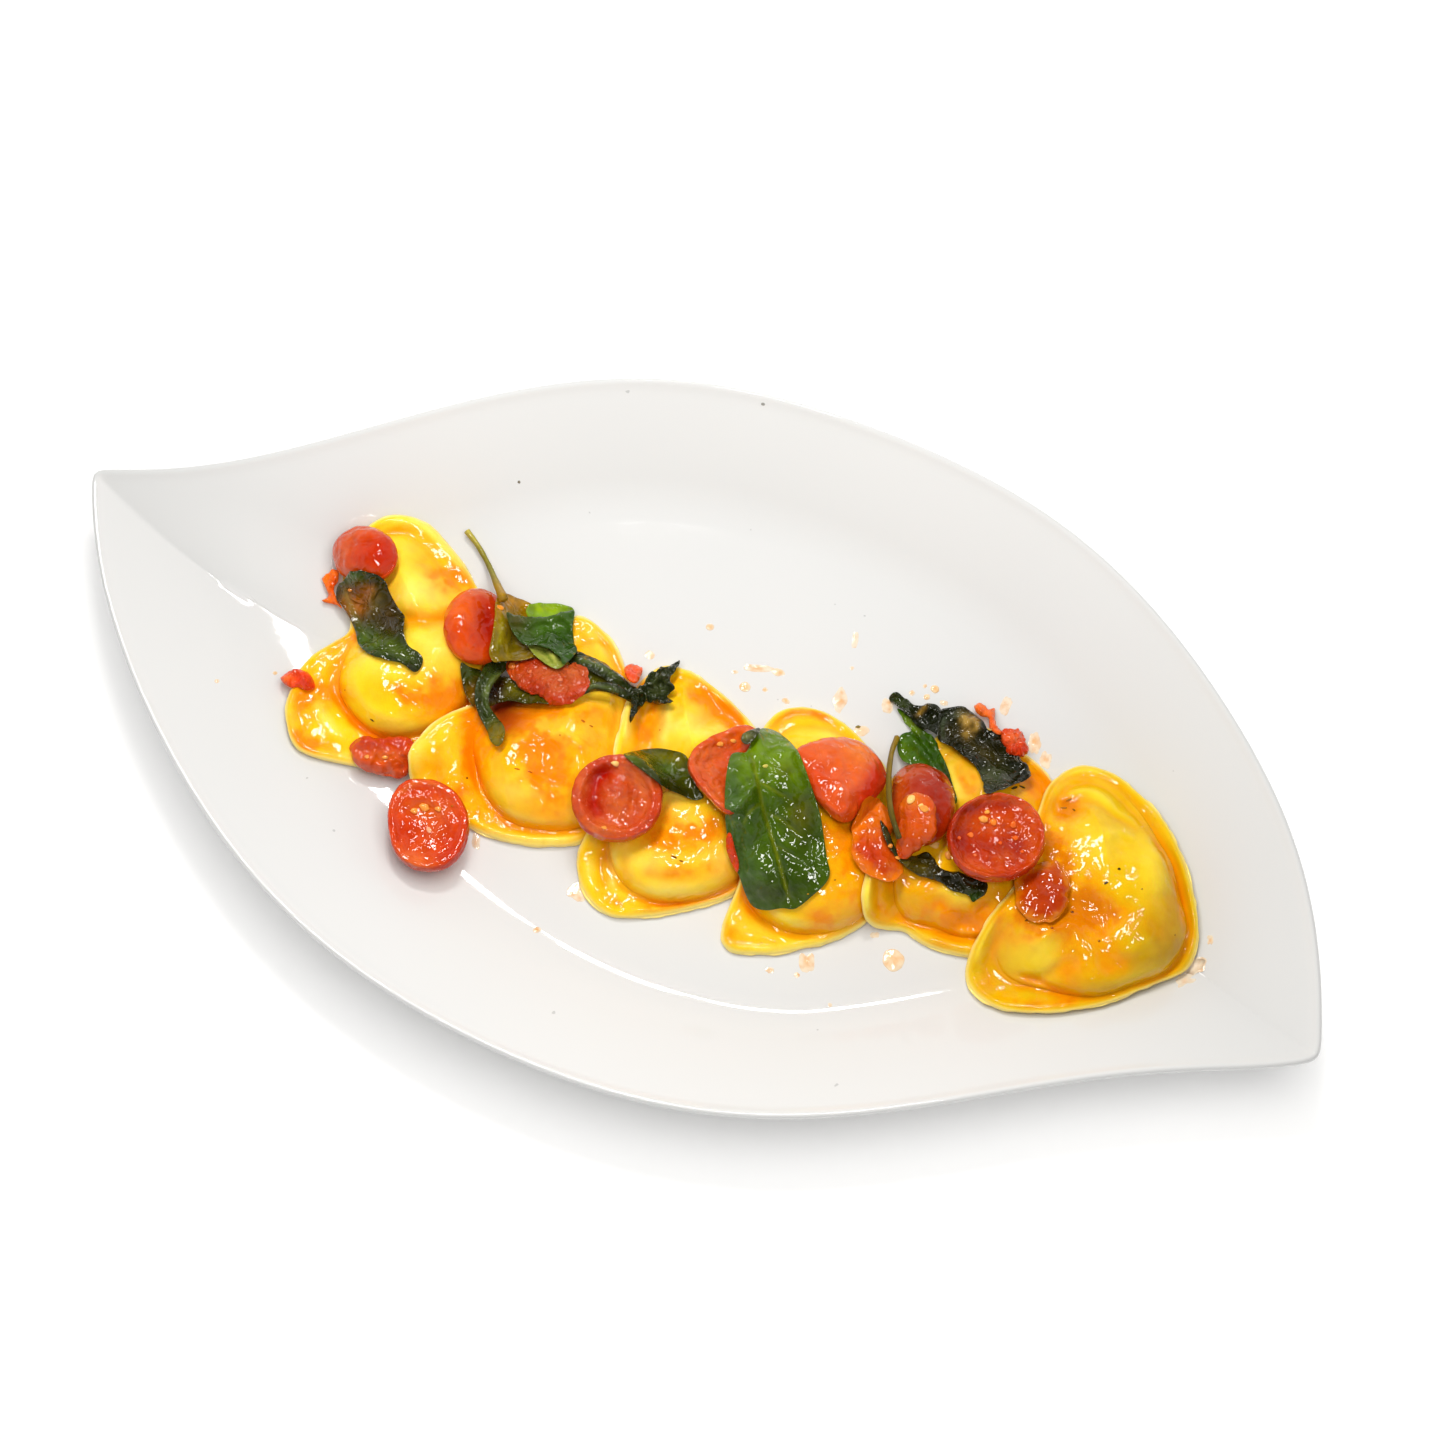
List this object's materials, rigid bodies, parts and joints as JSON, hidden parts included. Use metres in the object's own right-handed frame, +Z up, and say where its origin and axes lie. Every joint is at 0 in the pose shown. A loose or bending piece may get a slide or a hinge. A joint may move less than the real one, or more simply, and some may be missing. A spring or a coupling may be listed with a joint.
{
  "type": "ravioli",
  "caption": "Plate of folded ravioli: a leaf-shaped white porcelain plate with a row of filled pasta, halved cherry tomatoes, tomato sauce and wilted basil.",
  "frame": {"origin": "middle of the plate's outline, on the plane of its foot ring", "axes": "+X along the plate from one tip to the other, +Y across it to the side away from the diner, +Z up"},
  "size_m": [0.3719, 0.2052, 0.032],
  "materials": {
    "porcelain": "smooth white glaze",
    "pasta": "soft egg pasta, oiled",
    "tomato_skin": "cooked tomato skin, glossy",
    "tomato_cut": "cut tomato with gel and seeds, wet",
    "tomato_pulp": "cooked pulp, wet and grainy",
    "basil": "wilted leaf, oiled",
    "basil_stem": "soft green stem"
  },
  "bodies": {
    "root": {"basil_1": "basil", "basil_2": "basil", "basil_2b": "basil", "basil_3": "basil", "basil_4": "basil", "basil_5": "basil", "basil_6": "basil", "basil_7": "basil", "basil_8": "basil", "basil_9": "basil", "plate": "porcelain", "pulp_1": "tomato_pulp", "pulp_2": "tomato_pulp", "pulp_3": "tomato_pulp", "pulp_4": "tomato_pulp", "pulp_5": "tomato_pulp", "pulp_6": "tomato_pulp", "raviolo_1": "pasta", "raviolo_2": "pasta", "raviolo_3": "pasta", "raviolo_4": "pasta", "raviolo_5": "pasta", "raviolo_6": "pasta", "stem_1": "basil_stem", "stem_2": "basil_stem", "tomato_1": "tomato_skin", "tomato_2": "tomato_skin", "tomato_3": "tomato_cut", "tomato_4": "tomato_cut", "tomato_5": "tomato_cut", "tomato_6": "tomato_skin", "tomato_7": "tomato_skin", "tomato_8": "tomato_cut"}
  },
  "joints": []
}
